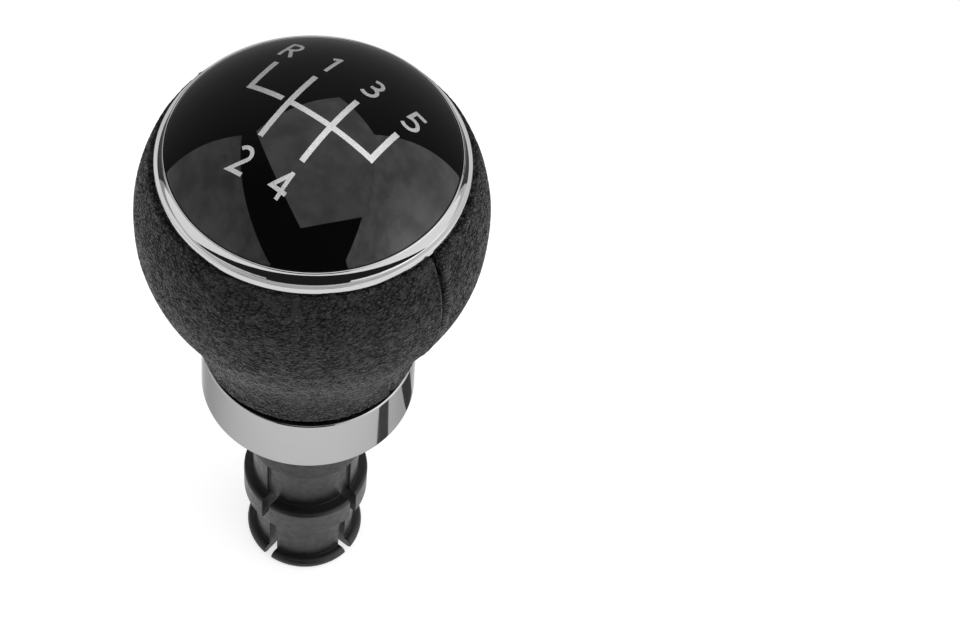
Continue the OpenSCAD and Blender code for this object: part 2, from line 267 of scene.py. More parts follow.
# The attribute of the leather's mesh that says how deep in a groove each point lies, from 0 to 1
GROOVE = "groove"


def leather_material():
    """Black leather of fine domed pebbles; the cracks between them are rougher, and painted shade makes
    them darker and their reflection duller.
    """
    material, n = new_material("black_leather")
    plain = n.object_point()
    along = n.object_point(stretch=(1, 1, PEBBLE_WIDTH))
    drift = n.noise(plain, DRIFT_SCALE, detail=1.0, output="Color")
    shaken = n.mix_point(DRIFT, along, drift)
    edge = n.spread(n.cells(shaken, PEBBLE_SCALE, "DISTANCE_TO_EDGE"), (0.03, 0.17), (1.0, 0.0))
    dome = n.spread(n.cells(shaken, PEBBLE_SCALE), (0.0, 0.75), (1.0, 0.0))
    broken = n.spread(n.noise(plain, scale=700.0, detail=1.0), (0.38, 0.52), (0.1, 1.0))
    crack = n.math("MULTIPLY", edge, broken)
    grain = n.spread(n.cells(shaken, GRAIN_SCALE, "DISTANCE_TO_EDGE"), (0.0, 0.26), (1.0, 0.0))
    pores = n.noise(plain, PORE_SCALE, detail=2.0)
    patches = n.noise(plain, scale=160.0)
    mesh_groove = n.add("ShaderNodeAttribute", attribute_name=GROOVE).outputs["Fac"]
    low = n.math("ADD", n.math("MULTIPLY", crack, 0.7), n.math("MULTIPLY", grain, 0.3))
    deep = n.math("ADD", low, n.math("MULTIPLY", mesh_groove, 0.3))
    # Painted shade: the colour darkens in the cracks and mesh grooves, and the patches add a random tone.
    crack_shade_and_patches = n.math("ADD", deep, n.math("MULTIPLY", patches, 0.3))
    colour = n.mix_colour(crack_shade_and_patches, grey(0.008), grey(0.001))
    # Painted shade: the specular tint dims the reflection in the cracks and mesh grooves.
    crack_reflection_shade = n.mix_colour(n.spread(deep, (0.15, 0.85), (0.0, 1.0)), grey(1.0), grey(0.35))
    dull = n.math("ADD", deep, n.math("MULTIPLY", pores, 0.4))
    roughness = n.spread(dull, (0.0, 1.2), (0.27, 0.62))
    pebbles = n.bump(n.math("SUBTRACT", dome, low), PEBBLE_H)
    normal = n.bump(pores, PORE_H, strength=0.5, normal=pebbles)
    n.principled({
        "Base Color": colour, "Roughness": roughness, "Normal": normal,
        "Specular Tint": crack_reflection_shade, "Specular IOR Level": 0.5,
    })
    return material


def gloss_material():
    """Polished black plastic with a faint haze."""
    material, n = new_material("piano_black")
    point = n.object_point()
    haze = n.noise(point, scale=90.0, detail=4.0)
    colour = n.mix_colour(haze, (0.0012, 0.0011, 0.0011), (0.0024, 0.0021, 0.0020))
    roughness = n.spread(n.noise(point, scale=700.0), NOISE_RANGE, (0.012, 0.035))
    normal = n.bump(n.noise(point, scale=60.0, detail=1.0), WAVE_H, strength=0.15)
    n.principled({"Base Color": colour, "Roughness": roughness, "Normal": normal, "IOR": 1.5})
    return material


def chrome_material(name, level, base_roughness, edge_level=1.0):
    """Chrome plating. Seen at a slant, it stays bright with an edge_level of 1, and less darkens it."""
    material, n = new_material(name)
    point = n.object_point()
    patches = n.noise(point, scale=60.0, detail=2.0)
    colour = n.mix_colour(patches, grey(level - CHROME_CHANGE), grey(level + CHROME_CHANGE))
    wear = n.noise(point, scale=400.0, detail=4.0)
    roughness = n.spread(wear, NOISE_RANGE, (base_roughness, base_roughness + CHROME_WEAR))
    normal = n.bump(n.noise(point, scale=120.0, detail=2.0), WAVE_H, strength=0.10)
    n.principled({
        "Base Color": colour, "Roughness": roughness, "Normal": normal, "Metallic": 1.0,
        "Specular Tint": (*grey(edge_level), 1),
    })
    return material


def plastic_material(name, level, roughness_range, bevel=PLASTIC_BEVEL):
    """Moulded plastic with a fine texture, paler in patches and with rounded corners."""
    material, n = new_material(name)
    point = n.object_point()
    colour = n.mix_colour(n.noise(point, scale=120.0), grey(level * 0.8), grey(level * 1.3))
    roughness = n.spread(n.noise(point, scale=900.0), NOISE_RANGE, roughness_range)
    rounded = n.add("ShaderNodeBevel", {"Radius": bevel}, samples=6).outputs[0]
    normal = n.bump(n.noise(point, scale=4000.0, detail=2.0), WAVE_H, strength=0.3, normal=rounded)
    n.principled({"Base Color": colour, "Roughness": roughness, "Normal": normal})
    return material


def print_material():
    """Silver print with fine specks."""
    material, n = new_material("silver_print")
    point = n.object_point()
    speck = n.spread(n.noise(point, scale=6000.0, detail=2.0), (0.35, 0.65), (0.0, 1.0))
    colour = n.mix_colour(speck, grey(0.62), grey(0.82))
    normal = n.bump(speck, distance=0.004 * MM, strength=0.3)
    n.principled({"Base Color": colour, "Roughness": 0.42, "Normal": normal, "Metallic": 0.7})
    return material


def metal_material(name, level, roughness_range):
    """Turned steel, with fine lines round the Z axis."""
    material, n = new_material(name)
    point = n.object_point(stretch=(1, 1, 30))
    lines = n.noise(point, scale=300.0)
    colour = n.mix_colour(lines, grey(level * 0.85), grey(level * 1.1))
    roughness = n.spread(lines, NOISE_RANGE, roughness_range)
    normal = n.bump(lines, WAVE_H, strength=0.4)
    n.principled({"Base Color": colour, "Roughness": roughness, "Normal": normal, "Metallic": 1.0})
    return material


# Mesh helpers

# Share of a line between its corner and the point next to it
CORNER_SHARE = 0.02
# Points closer than this are the same
SAME_POINT = 1e-7
RING_SEGMENTS = 360
CAP_SEGMENTS = 240


def new_piece(name, points, faces, material, smooth=True):
    mesh = bpy.data.meshes.new(name)
    mesh.from_pydata([tuple(p) for p in points], [], faces)
    mesh.validate()
    mesh.update()
    for polygon in mesh.polygons:
        polygon.use_smooth = smooth
    mesh.materials.append(material)
    piece = bpy.data.objects.new(name, mesh)
    bpy.context.scene.collection.objects.link(piece)
    return piece


def grid_faces(rows, columns, close_rows, close_columns):
    """Quads over a grid of points that are stored row by row."""
    faces = []
    for i in range(rows if close_rows else rows - 1):
        for j in range(columns if close_columns else columns - 1):
            i2, j2 = (i + 1) % rows, (j + 1) % columns
            faces.append((i * columns + j, i * columns + j2, i2 * columns + j2, i2 * columns + j))
    return faces


def revolve(name, outline, material, segments=RING_SEGMENTS, hollow=True):
    """Turns an outline of (radius, height) points once round the Z axis.

    A hollow piece closes along its outline. Another one starts and ends close to the axis,
    with a small disc there.
    """
    angles = np.arange(segments) / segments * FULL_TURN
    ring = np.stack([np.cos(angles), np.sin(angles)], 1)
    points = []
    for radius, height in outline:
        points += [(radius * c, radius * s, height) for c, s in ring]
    faces = grid_faces(len(outline), segments, hollow, True)
    if not hollow:
        last = (len(outline) - 1) * segments
        faces.append([last + j for j in range(segments)])
        faces.append(list(reversed(range(segments))))
    return new_piece(name, points, faces, material)


def tidy(outline):
    """Drops points that repeat the one before them."""
    kept = []
    for point in outline:
        if not kept or math.dist(point, kept[-1]) > SAME_POINT:
            kept.append(point)
    if math.dist(kept[0], kept[-1]) <= SAME_POINT:
        kept.pop()
    return kept


def arc(centre, radius, start, end, steps):
    """Points on an arc of the section, with angles in degrees from the outward direction."""
    points = []
    for i in range(steps + 1):
        angle = math.radians(start + (end - start) * i / steps)
        points.append((centre[0] + radius * math.cos(angle), centre[1] + radius * math.sin(angle)))
    return points


def line(start, end, steps=2):
    """Points between two corners, close to both ends, so that smooth shading keeps the corners crisp."""
    ease = [0.0, CORNER_SHARE] + [i / steps for i in range(1, steps)] + [1 - CORNER_SHARE, 1.0]
    return [(start[0] + (end[0] - start[0]) * t, start[1] + (end[1] - start[1]) * t) for t in ease]


def hollow_line(start, end, depth, steps):
    """Points from start to end on a shallow curve, whose middle lies to the left of the way by depth."""
    along = Vector(end) - Vector(start)
    aside = Vector((-along.y, along.x)).normalized()
    points = []
    for i in range(steps + 1):
        t = i / steps
        points.append(tuple(Vector(start) + along * t + aside * (depth * 4 * t * (1 - t))))
    return points


# Turned pieces


def add_ring(material):
    """The trim ring: a thin flange on the leather's rim, and a slightly hollow flank up to a round edge."""
    edge, top = FLANGE_EDGE, RING_EDGE / 2
    flange_top = Z_RIM + FLANGE_T
    flange_r = RING_R - FLANGE_TAPER - edge
    foot = (RING_R - FLANGE_W, flange_top)
    outline = line((RING_IN_R, Z_RIM), (RING_R - edge, Z_RIM))
    outline += arc((RING_R - edge, Z_RIM + edge), edge, -90, 0, steps=8)
    outline += arc((flange_r, flange_top - edge), edge, 0, 90, steps=8)
    outline += line((flange_r, flange_top), foot)
    outline += hollow_line(foot, (RING_IN_R + RING_EDGE, Z_CAP - top), RING_HOLLOW, steps=16)
    outline += arc((RING_IN_R + top, Z_CAP - top), top, 0, 180, steps=16)
    outline += line((RING_IN_R, Z_CAP - top), (RING_IN_R, Z_RIM))
    piece = revolve("trim_ring", tidy(outline), material)
    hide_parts("top_ring")
    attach(piece, "root")


def add_cap(material):
    """The domed cap: its outer dome, its rounded edge, its wall and its inner dome."""
    rim = math.degrees(math.acos(CAP_R / DOME_R))
    inner_r = DOME_R - CAP_T
    inner_rim = math.degrees(math.acos((CAP_R - CAP_T) / inner_r))
    outline = arc((0, DOME_Z), DOME_R, DOME_APEX, rim + DOME_EDGE, steps=90)
    outline += arc((CAP_R - CAP_EDGE, Z_CAP - CAP_EDGE / 2), CAP_EDGE, rim, 0, steps=6)
    outline += line((CAP_R, Z_CAP - CAP_EDGE), (CAP_R, CAP_WALL_Z))
    outline += line((CAP_R, CAP_WALL_Z), (CAP_R - CAP_T, CAP_WALL_Z))
    outline += arc((0, DOME_Z), inner_r, inner_rim, DOME_APEX, steps=20)
    piece = revolve("gloss_cap", tidy(outline), material, CAP_SEGMENTS, hollow=False)
    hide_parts("pattern_cap")
    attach(piece, "root")


def add_collar(material):
    """The lower collar: a sleeve that flares a little downwards, with a web inside under the leather."""
    edge = COLLAR_EDGE
    top_r = COLLAR_LOW_R - COLLAR_FLARE
    outline = line((COLLAR_HOLE_R, Z_WEB), (COLLAR_IN_R, Z_WEB))
    outline += line((COLLAR_IN_R, Z_WEB), (COLLAR_IN_R, Z_COLLAR), steps=3)
    outline += arc((COLLAR_LOW_R - edge, Z_COLLAR + edge), edge, -90, 0, steps=10)
    outline += line((COLLAR_LOW_R, Z_COLLAR + edge), (top_r, Z_COLLAR_TOP - edge), steps=12)
    outline += arc((top_r - edge, Z_COLLAR_TOP - edge), edge, 0, 90, steps=10)
    outline += line((COLLAR_IN_R, Z_COLLAR_TOP), (COLLAR_IN_R, Z_NECK), steps=3)
    outline += line((COLLAR_IN_R, Z_NECK), (COLLAR_HOLE_R, Z_NECK))
    outline += line((COLLAR_HOLE_R, Z_NECK), (COLLAR_HOLE_R, Z_WEB))
    piece = revolve("chrome_collar", tidy(outline), material)
    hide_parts("lower_collar")
    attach(piece, "root")


# Leather

# Rows and columns of a panel's mesh
OUTLINE_SAMPLES = 4000
ROWS = 236
BACK_ROWS = 24
COLUMNS = 356
SEAM_COLUMNS = 14

# The seam: its gap at the heights between which it widens, how wide the edges roll in there and at
# the rim, and the ridge along its crisp side
SEAM_STRIP = 1.6 * MM
SEAM_TURN = math.radians(-6.5)
GAP_LOW = 0.2 * MM
GAP_LOW_Z = 74 * MM
GAP_TOP = 0.8 * MM
GAP_TOP_Z = 98 * MM
SOFT_ROLL = 1.0 * MM
CRISP_ROLL = 0.35 * MM
RIM_ROLL = 0.8 * MM
RIDGE_AT = 0.5 * MM
RIDGE_W = 0.3 * MM
RIDGE_H = 0.12 * MM

# Distances from the edges between which the relief grows to its full depth, and the height over which
# the points at the neck's edge start to move up and down
CALM_SOFT = (0.3 * MM, 1.9 * MM)
CALM_CRISP = (0.1 * MM, 0.7 * MM)
CALM_RIM = (0.2 * MM, 0.9 * MM)
NECK_BLEND = 1 * MM

# Pebbles of the grain, shifted and parted by shares of a cell, and deeper in some patches.
# Without a seed, the noise that shifts them would be another one in each run.
NOISE_SEED = 1
GRAIN_CELL = 0.80 * MM
GRAIN_WIDTH = 1.45
GRAIN_DEPTH = 0.12 * MM
GRAIN_SHIFT = 0.35
GRAIN_SHIFT_SCALE = 0.6
GRAIN_GAP = 0.32
GRAIN_PATCH = 2.6 * MM
GRAIN_CHANGE = 0.4
GRAIN_GROOVE = 0.55

# Fine folds, which fade out in some patches
FOLD_LENGTH = 2.3 * MM
FOLD_SPACING = 0.8 * MM
FOLD_DEPTH = 0.12 * MM
FOLD_SHIFT = 0.35
FOLD_SHIFT_SCALE = 1.3
FOLD_W = 0.09
FOLD_PATCH = 4 * MM
FOLD_MEAN = 0.5
FOLD_CHANGE = 1.6
FOLD_GROOVE = 0.9

# Broad waves of the skin
SWELL = 0.12 * MM
SWELL_PATCH = 7 * MM

# Hollows under the ring and above the collar: angle from the side that faces the camera, then
# distance below the rim, half width, half height and depth in millimetres
HOLLOWS = [
    (-23, 1.6, 4.5, 1.5, 0.5),
    (-4, 1.4, 3.0, 1.2, 0.3),
    (20, 1.4, 3.0, 1.1, 0.25),
    (40, 2.8, 1.5, 1.8, 0.25),
    (50, 39.6, 2.3, 1.6, 0.18),
]
HOLLOW_CALM = 0.8


def smooth_step(value, low, high):
    t = np.clip((value - low) / (high - low), 0, 1)
    return t * t * (3 - 2 * t)


def circle_half(radius, offset):
    """Half the chord of a circle at some offset from its centre, and 0 outside it."""
    return np.sqrt(np.maximum(radius ** 2 - offset ** 2, 0))


def bulb_radius(z):
    """The plain bulb's radius at a height: belt, ball, flank and hollow neck."""
    upper = circle_half(HEAD_R, z - Z_UPPER)
    lower = circle_half(HEAD_R, z - Z_LOWER)
    flank = FLANK_TOP_R - (FLANK_TOP_Z - z) * math.tan(FLANK_LEAN)
    hollow = CURVE_X - circle_half(NECK_CURVE_R, z - CURVE_Z)
    ball = np.where(z >= Z_UPPER, upper, np.where(z >= Z_LOWER, HEAD_R, lower))
    foot = np.where(z >= FLANK_END_Z, flank, np.where(z >= CURVE_Z, hollow, NECK_R))
    return np.where(z >= FLANK_TOP_Z, ball, foot)


def skin_radius(z):
    """The leather's outer outline: the bulb's, a little fuller, with a full lower edge over the collar."""
    hollow = LIP_R + LIP_CURVE_R - circle_half(LIP_CURVE_R, z - LIP_CURVE_Z)
    rounded = LIP_R - LIP_ROUND + circle_half(LIP_ROUND, LIP_Z + LIP_ROUND - z)
    into_gap = smooth_step(z, LIP_Z - LIP_ROUND, LIP_Z)
    under = bulb_radius(z) * (1 - into_gap) + (LIP_R - LIP_ROUND) * into_gap
    lip = np.where(z >= LIP_CURVE_Z, hollow, np.where(z >= LIP_Z + LIP_ROUND, LIP_R, rounded))
    outline = np.where(z >= LIP_TOUCH_Z, bulb_radius(z), np.where(z >= LIP_Z, lip, under))
    return outline + FULLNESS * np.exp(-((z - FULL_AT) / FULL_SPREAD) ** 2)


def outer_rows():
    """Evenly spaced points on the leather's outline, from the neck up, with their outward normals."""
    z = np.linspace(Z_NECK, Z_RIM, OUTLINE_SAMPLES)
    r = skin_radius(z)
    length = np.concatenate([[0], np.cumsum(np.hypot(np.diff(r), np.diff(z)))])
    z = np.interp(np.linspace(0, length[-1], ROWS), length, z)
    r = skin_radius(z)
    dr, dz = np.gradient(r), np.gradient(z)
    size = np.hypot(dr, dz)
    return r, z, dz / size, -dr / size


def panel_angles():
    """Angles over half a turn, close together along both seams."""
    strip = SEAM_STRIP / HEAD_R
    near = np.linspace(0, strip, SEAM_COLUMNS, endpoint=False)
    middle = np.linspace(strip, math.pi - strip, COLUMNS - 2 * SEAM_COLUMNS)
    return np.concatenate([near, middle, math.pi - near[::-1]])


def row_azimuths(radius, level, turn):
    """Angles of a panel's columns at each radius and level, less half the seam's gap at both ends."""
    gap = (GAP_LOW + (GAP_TOP - GAP_LOW) * smooth_step(level, GAP_LOW_Z, GAP_TOP_Z)) / 2
    edge = (gap / radius)[:, None]
    return turn + SEAM_TURN + edge + panel_angles() * (1 - 2 * edge / math.pi)


def pebble(point):
    """1 on a pebble of the grain, 0 in the groove beside it."""
    scaled = Vector((point.x, point.y, point.z * GRAIN_WIDTH)) / GRAIN_CELL
    scaled += noise.noise_vector(scaled * GRAIN_SHIFT_SCALE) * GRAIN_SHIFT
    near = noise.voronoi(scaled)[0]
    edge = min((near[1] - near[0]) / GRAIN_GAP, 1.0)
    return edge * (2 - edge)


def fold(point):
    """1 in the middle of one of the fine folds that run round the bulb, 0 beside it."""
    scaled = Vector((point.x / FOLD_LENGTH, point.y / FOLD_LENGTH, point.z / FOLD_SPACING))
    value = noise.noise(scaled + noise.noise_vector(scaled * FOLD_SHIFT_SCALE) * FOLD_SHIFT)
    strength = min(max(FOLD_MEAN + FOLD_CHANGE * noise.noise(point / FOLD_PATCH), 0.0), 1.0)
    return max(0.0, 1 - abs(value) / FOLD_W) * strength


def leather_relief(x, y, z):
    """How far each point stands proud of the plain outline, and how deep in a groove it lies, 0 to 1."""
    heights, grooves = np.empty(x.shape), np.empty(x.shape)
    for i in np.ndindex(x.shape):
        point = Vector((x[i], y[i], z[i]))
        low = (1 - pebble(point)) * (1 + GRAIN_CHANGE * noise.noise(point / GRAIN_PATCH))
        crease = fold(point)
        swell = SWELL * noise.noise(point / SWELL_PATCH)
        heights[i] = swell - GRAIN_DEPTH * low - FOLD_DEPTH * crease
        grooves[i] = min(GRAIN_GROOVE * low + FOLD_GROOVE * crease, 1.0)
    return heights, grooves


def hollows(azimuth, radius, below_rim):
    """Depth of the hollows at each point, and the share of the relief that they leave there."""
    depth, calm = np.zeros(azimuth.shape), np.ones(azimuth.shape)
    for angle, below, half_w, half_h, deep in HOLLOWS:
        centre = VIEW_TURN + math.radians(angle - 90)
        along = radius * ((azimuth - centre + math.pi) % FULL_TURN - math.pi)
        bell = np.exp(-(along / (half_w * MM)) ** 2 - ((below_rim - below * MM) / (half_h * MM)) ** 2)
        depth += deep * MM * bell
        calm *= 1 - HOLLOW_CALM * bell
    return depth, calm


def rolled(distance, width):
    """How far an edge has rolled in, at some distance from it."""
    into = np.clip(1 - distance / width, 0, 1)
    return width * (1 - np.sqrt(np.maximum(1 - into ** 2, 0)))


def each_column(values):
    """One value per row, repeated for every column of a panel."""
    return np.outer(values, np.ones(COLUMNS))


def panel_front(turn):
    """Angles, radii, heights and groove depths of a panel's outer surface, row by row from the neck up."""
    r, z, out_r, out_z = outer_rows()
    azimuth = row_azimuths(r, z, turn)
    height = each_column(z)
    r, out_r, out_z = r[:, None], out_r[:, None], out_z[:, None]
    relief, groove = leather_relief(r * np.cos(azimuth), r * np.sin(azimuth), height)

    # The edges roll down into the seam, softly at the start and behind a low ridge at the end,
    # and the rim rolls in under the ring
    from_start = r * (azimuth - azimuth[:, :1])
    from_end = r * (azimuth[:, -1:] - azimuth)
    below_rim = Z_RIM - height
    sink = rolled(from_start, SOFT_ROLL) + rolled(from_end, CRISP_ROLL) + rolled(below_rim, RIM_ROLL)
    sink -= RIDGE_H * np.exp(-((from_end - RIDGE_AT) / RIDGE_W) ** 2)
    dent, calm = hollows(azimuth, r, below_rim)
    calm *= smooth_step(from_start, *CALM_SOFT) * smooth_step(from_end, *CALM_CRISP)
    calm *= smooth_step(below_rim, *CALM_RIM)
    offset = relief * calm - sink - dent
    radius = r + out_r * offset
    level = height + out_z * offset * smooth_step(height, Z_NECK, Z_NECK + NECK_BLEND)
    return azimuth, radius, level, groove * calm


def panel_back(turn):
    """Angles, radii and heights that close a panel: turned-in rim, plain back and turned-in neck."""
    rim_r = bulb_radius(np.array([Z_RIM]))[0] - TURN_IN
    neck_r = NECK_R - NECK_TURN_IN
    back_z = np.linspace(Z_RIM - LEATHER_T, Z_NECK + LEATHER_T, BACK_ROWS)
    r = np.concatenate([[rim_r, rim_r], bulb_radius(back_z) - LEATHER_T, [neck_r, neck_r]])
    z = np.concatenate([[Z_RIM, Z_RIM - LEATHER_T], back_z, [Z_NECK + LEATHER_T, Z_NECK]])
    return row_azimuths(r, z, turn), each_column(r), each_column(z)


def leather_panel(name, node, turn, material):
    *front, groove = panel_front(turn)
    azimuth, radius, level = [np.vstack(pair) for pair in zip(front, panel_back(turn))]
    points = np.stack([radius * np.cos(azimuth), radius * np.sin(azimuth), level], 2).reshape(-1, 3)
    rows = len(level)
    faces = grid_faces(rows, COLUMNS, True, False)
    faces.append([i * COLUMNS for i in range(rows)])
    faces.append([i * COLUMNS + COLUMNS - 1 for i in reversed(range(rows))])
    piece = new_piece(name, points.tolist(), faces, material)
    depth = np.zeros(level.shape)
    depth[:ROWS] = groove
    attribute = piece.data.attributes.new(GROOVE, "FLOAT", "POINT")
    attribute.data.foreach_set("value", depth.ravel())
    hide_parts(node)
    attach(piece, "root")


# Shift pattern: lines and characters that lie on the dome, drawn on the X and Y axes in millimetres

PRINT_LIFT = 0.012 * MM
PRINT_STEP = 0.35
MITRE_LIMIT = 0.35
LINE_W = 0.85
COLUMN_X = [-10.4, -3.5, 3.75, 10.75]
REVERSE_LINE = 5.75
GATE_Y = -1.15
LINE_TOP = 4.95
LINE_BOTTOM = -7.8
TOP_ROW_Y = 6.85
BOTTOM_ROW_Y = -13.75
GLYPH_W = 0.58
GLYPH_H = 4.1


def curve(centre, radii, start, end, steps=14):
    """Points on an ellipse, with angles in degrees."""
    points = []
    for i in range(steps + 1):
        angle = math.radians(start + (end - start) * i / steps)
        points.append((centre[0] + radii[0] * math.cos(angle), centre[1] + radii[1] * math.sin(angle)))
    return points


# Each character is a list of strokes, drawn from the lower left corner of its place


def glyph_r():
    bowl = [(0.3, 3.8)] + curve((1.25, 2.88), (0.95, 0.92), 90, -90) + [(0.3, 1.96)]
    return [[(0.3, 0), (0.3, GLYPH_H)], bowl, [(1.15, 1.96), (2.35, 0)]]


def glyph_1():
    return [[(1.3, 0), (1.3, GLYPH_H)], [(0.35, 3.25), (1.35, 3.9)]]


def glyph_2():
    return [curve((1.3, 2.85), (1.0, 0.97), 150, -35) + [(0.35, 0.3), (2.6, 0.3)]]


def glyph_3():
    upper = curve((1.15, 3.0), (0.95, 0.82), 130, -90) + [(0.75, 2.18)]
    lower = [(0.95, 2.18)] + curve((1.15, 1.24), (1.15, 0.94), 90, -140)
    return [upper, lower]


def glyph_4():
    return [[(1.95, 0), (1.95, GLYPH_H)], [(2.05, 3.95), (0.3, 1.2), (2.75, 1.2)]]


def glyph_5():
    bowl = curve((1.1, 1.3), (1.2, 1.0), 95, -135)
    return [[(2.2, 3.8), (0.5, 3.8), (0.42, 2.15), (0.9, 2.3)] + bowl]


def on_dome(x, y, lift):
    """The point over a place in millimetres that lies a little outside or inside the dome."""
    x, y = x * MM, y * MM
    level = math.sqrt((DOME_R + lift) ** 2 - x * x - y * y)
    return (x, y, DOME_Z + level)


def densify(path):
    """The path's own corners, with points between them that are PRINT_STEP apart at most."""
    points = [Vector(path[0])]
    for corner in path[1:]:
        start, end = points[-1], Vector(corner)
        count = max(1, math.ceil((end - start).length / PRINT_STEP))
        points += [start.lerp(end, i / count) for i in range(1, count + 1)]
    return points


def stroke(points, faces, path, width):
    """Adds a closed band of even width along a path, with mitred corners, half sunk in the dome."""
    path = densify(path)
    base = len(points)
    for i, here in enumerate(path):
        before = (here - path[i - 1]).normalized() if i else None
        after = (path[i + 1] - here).normalized() if i + 1 < len(path) else None
        ahead = ((before or after) + (after or before)).normalized()
        across = Vector((-ahead.y, ahead.x))
        stretch = 1 / max(ahead.dot(after or before), MITRE_LIMIT)
        half = across * (width / 2 * stretch)
        for side in (here + half, here - half):
            points.append(on_dome(side.x, side.y, PRINT_LIFT))
            points.append(on_dome(side.x, side.y, -PRINT_LIFT))
    for i in range(len(path) - 1):
        a, b = base + 4 * i, base + 4 * i + 4
        faces += [(a, a + 2, b + 2, b), (a + 1, b + 1, b + 3, a + 3)]
        faces += [(a, b, b + 1, a + 1), (a + 2, a + 3, b + 3, b + 2)]
    last = base + 4 * (len(path) - 1)
    faces += [(base, base + 1, base + 3, base + 2), (last, last + 2, last + 3, last + 1)]


def add_print(name, strokes, width, material):
    points, faces = [], []
    for path in strokes:
        stroke(points, faces, path, width)
    piece = new_piece(name, points, faces, material, smooth=False)
    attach(piece, "root")


def add_pattern(material):
    half = LINE_W / 2
    reverse, first, third, fifth = COLUMN_X
    lines = [
        [(reverse, LINE_TOP), (reverse, GATE_Y), (reverse + REVERSE_LINE, GATE_Y)],
        [(first, LINE_TOP), (first, LINE_BOTTOM)],
        [(third, LINE_TOP), (third, LINE_BOTTOM)],
        [(first + half, GATE_Y), (third - half, GATE_Y)],
        [(third + half, GATE_Y), (fifth, GATE_Y), (fifth, LINE_TOP)],
    ]
    add_print("shift_lines", lines, LINE_W, material)
    places = [
        (glyph_r, reverse - 1.5, TOP_ROW_Y),
        (glyph_1, first - 1.1, TOP_ROW_Y),
        (glyph_3, third - 1.3, TOP_ROW_Y),
        (glyph_5, fifth - 1.2, TOP_ROW_Y),
        (glyph_2, first - 1.5, BOTTOM_ROW_Y),
        (glyph_4, third - 1.9, BOTTOM_ROW_Y),
    ]
    strokes = []
    for glyph, x, y in places:
        strokes += [[(x + px, y + py) for px, py in path] for path in glyph()]
    add_print("shift_characters", strokes, GLYPH_W, material)


# Stage: sizes and places in metres in the camera's frame, unless a line says otherwise

WORLD_LEVEL = 0.45

FLOOR_W = 1.3
FLOOR_FRONT = 0.19
FLOOR_BACK = 0.10
FLOOR_LEVEL = 0.6
FLOOR_GLOW = 0.62

# Dark cards, in millimetres
CARDS = [
    [(38, -17.5), (62, -17.5), (62, -7), (38, -6.5)],
    [(50, 9.5), (46, 24), (31, 24), (36, 15.5)],
]
CARD_LIFT = 0.5
CARD_LEVEL = 0.13

# Light panels, with corners and hot spots in shares of PANEL_AT
PANEL_AT = 0.8
LEFT_PANEL = [(-1, -2.05, 0), (-1, 0.42, 0), (-1, 0.70, 1.3), (-1, -2.05, 1.3)]
RIGHT_PANEL = [(1, -2.25, 0), (1, 0.45, 0), (1, 0.86, 1.68), (1, -2.25, 1.68)]
OVER_PANEL = [(0.62, -0.47, 1), (-0.12, -0.66, 1), (-0.55, 0.48, 1), (0.25, 1.0, 1), (0.58, 0.5, 1)]
HOT_REACH = 0.75
CLOUD_LEVELS = (0.78, 1.18)

# The dark studio: how dark it is in front and how pale far behind, and the grid of its sphere
TENT_R = 3.0
TENT_LEVELS = (0.02, 0.16)
TENT_FRONT = -0.2
TENT_ROWS = 25
TENT_COLUMNS = 48

# The lamp that fills in from the front, in watts and metres
FILL_POWER = 6
FILL_SIZE = 1.2
FILL_AT = (0.1, -0.5, 1.4)
FILL_AIM = Vector((0, 0, 0.08))


def stage_mesh(name, corners, faces, material):
    mesh = bpy.data.meshes.new(name)
    mesh.from_pydata([tuple(c) for c in corners], [], faces)
    mesh.materials.append(material)
    obj = bpy.data.objects.new(name, mesh)
    bpy.context.scene.collection.objects.link(obj)
    return obj


def stage_panel(name, corners, material):
    return stage_mesh(name, corners, [tuple(range(len(corners)))], material)


def seen_directly(nodes):
    """1 for camera, glossy and transmission rays, 0 for the others."""
    path = nodes.add("ShaderNodeLightPath").outputs
    either = nodes.math("MAXIMUM", path["Is Camera Ray"], path["Is Glossy Ray"])
    return nodes.math("MAXIMUM", either, path["Is Transmission Ray"])


def add_world():
    world = bpy.data.worlds.new("world")
    bpy.context.scene.world = world
    world.use_nodes = True
    n = Nodes(world.node_tree)
    strength = n.spread(seen_directly(n), (0.0, 1.0), (WORLD_LEVEL, 1.0))
    background = n.add("ShaderNodeBackground", {"Color": WHITE, "Strength": strength})
    n.output(background.outputs[0], "ShaderNodeOutputWorld")


def add_floor():
    material, n = new_material("floor")
    diffuse = n.add("ShaderNodeBsdfDiffuse", {"Color": (*grey(FLOOR_LEVEL), 1)}).outputs[0]
    glow = n.emission(n.math("MULTIPLY", seen_directly(n), FLOOR_GLOW))
    n.output(n.add("ShaderNodeAddShader", {0: diffuse, 1: glow}).outputs[0])
    half, front, back = FLOOR_W / 2, -FLOOR_FRONT, FLOOR_BACK
    corners = [turned(-half, front), turned(half, front), turned(half, back), turned(-half, back)]
    stage_panel("floor", corners, material)


def add_dark_cards():
    """Two cards on the floor at the right, which show only in reflections: the dark bars of the collar."""
    material, n = new_material("dark_card")
    n.output(n.emission(CARD_LEVEL))
    for i, card in enumerate(CARDS):
        corners = [turned(x, y, CARD_LIFT) * MM for x, y in card]
        obj = stage_panel(f"dark_card_{i + 1}", corners, material)
        obj.visible_camera = False
        obj.visible_diffuse = False
        obj.visible_shadow = False


def add_panel(name, corners, level, hot, hot_at):
    """A softbox with soft cloudy patches, whose glow falls from hot at one place to an even level."""
    material, n = new_material(name)
    point = n.add("ShaderNodeTexCoord").outputs["Object"]
    cloud = n.spread(n.noise(point, scale=5.0, detail=4.0, roughness=0.55), NOISE_RANGE, CLOUD_LEVELS)
    centre = turned(*hot_at) * PANEL_AT
    away = n.add("ShaderNodeVectorMath", {0: point, 1: centre}, operation="DISTANCE").outputs["Value"]
    peak = n.spread(away, (0.0, HOT_REACH), (hot, level))
    n.output(n.emission(n.math("MULTIPLY", cloud, peak)))
    obj = stage_panel(name, [turned(*corner) * PANEL_AT for corner in corners], material)
    obj.visible_camera = False


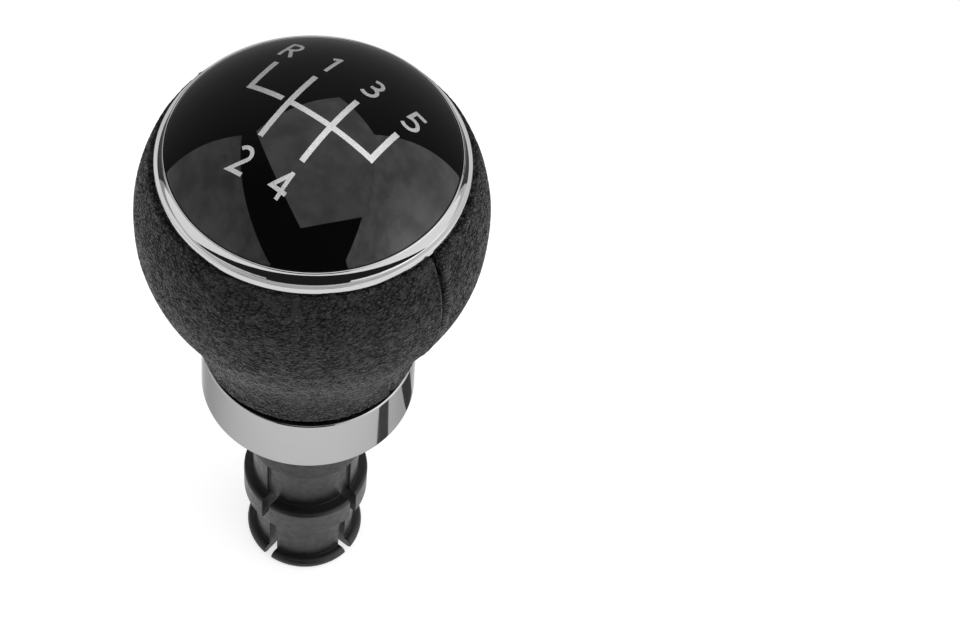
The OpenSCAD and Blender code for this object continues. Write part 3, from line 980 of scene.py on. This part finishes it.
def add_tent():
    """The dark studio round the lights, which shows only in reflections."""
    material, n = new_material("dark_studio")
    point = n.add("ShaderNodeTexCoord").outputs["Object"]
    ahead = turned(0, 1)
    depth = n.add("ShaderNodeVectorMath", {0: point, 1: ahead}, operation="DOT_PRODUCT").outputs["Value"]
    n.output(n.emission(n.spread(depth, (TENT_R * TENT_FRONT, TENT_R), TENT_LEVELS)))
    corners = []
    for i in range(TENT_ROWS):
        rise = math.pi * (i / (TENT_ROWS - 1) - 0.5)
        radius, level = TENT_R * math.cos(rise), TENT_R * math.sin(rise)
        for j in range(TENT_COLUMNS):
            azimuth = FULL_TURN * j / TENT_COLUMNS
            corners.append((radius * math.cos(azimuth), radius * math.sin(azimuth), level))
    tent = stage_mesh("dark_studio", corners, grid_faces(TENT_ROWS, TENT_COLUMNS, False, True), material)
    tent.visible_camera = False
    tent.visible_diffuse = False
    tent.visible_shadow = False
    tent.visible_transmission = False


def add_lights():
    add_panel("left_panel", LEFT_PANEL, level=0.7, hot=1.0, hot_at=(-1, -0.6, 0.25))
    add_panel("right_panel", RIGHT_PANEL, level=1.2, hot=2.3, hot_at=(1, -0.5, 0.35))
    add_panel("over_panel", OVER_PANEL, level=1.0, hot=1.15, hot_at=(0.3, 0.2, 1))
    data = bpy.data.lights.new("fill", "AREA")
    data.shape = "SQUARE"
    data.size = FILL_SIZE
    data.energy = FILL_POWER
    fill = bpy.data.objects.new("fill", data)
    fill.location = turned(*FILL_AT)
    fill.rotation_euler = (FILL_AIM - fill.location).to_track_quat("-Z", "Y").to_euler()
    fill.visible_glossy = False
    bpy.context.scene.collection.objects.link(fill)


def dress_nodes():
    """Gives the CAD pieces that stay in view, and those inside, their own materials."""
    collet_range, stem_range = (0.34, 0.48), (0.44, 0.58)
    finishes = {
        "collet": plastic_material("moulded_nylon", 0.005, collet_range, bevel=0.25 * MM),
        # The stem's plastic is darker than the collet's: partly its own colour, partly painted shade for
        # the shadow the collar casts on it.
        "stem": plastic_material("stem_plastic", 0.002, stem_range, bevel=0.20 * MM),
        "core": plastic_material("core_plastic", 0.04, (0.45, 0.60)),
        "cap_carrier": plastic_material("carrier_plastic", 0.03, (0.40, 0.55)),
        "weight": metal_material("turned_steel", 0.55, (0.28, 0.42)),
    }
    for node, material in finishes.items():
        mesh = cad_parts[node].data
        mesh.materials.clear()
        mesh.materials.append(material)


bpy.context.scene.view_settings.view_transform = "Standard"
add_camera()
add_world()
add_floor()
add_dark_cards()
add_tent()
add_lights()
dress_nodes()
noise.seed_set(NOISE_SEED)
leather = leather_material()
leather_panel("leather_panel_rear", "leather_rear", 0.0, leather)
leather_panel("leather_panel_front", "leather_front", math.pi, leather)
add_cap(gloss_material())
add_ring(chrome_material("ring_chrome", level=0.54, base_roughness=0.03))
add_collar(chrome_material("collar_chrome", level=0.45, base_roughness=0.05, edge_level=0.45))
add_pattern(print_material())
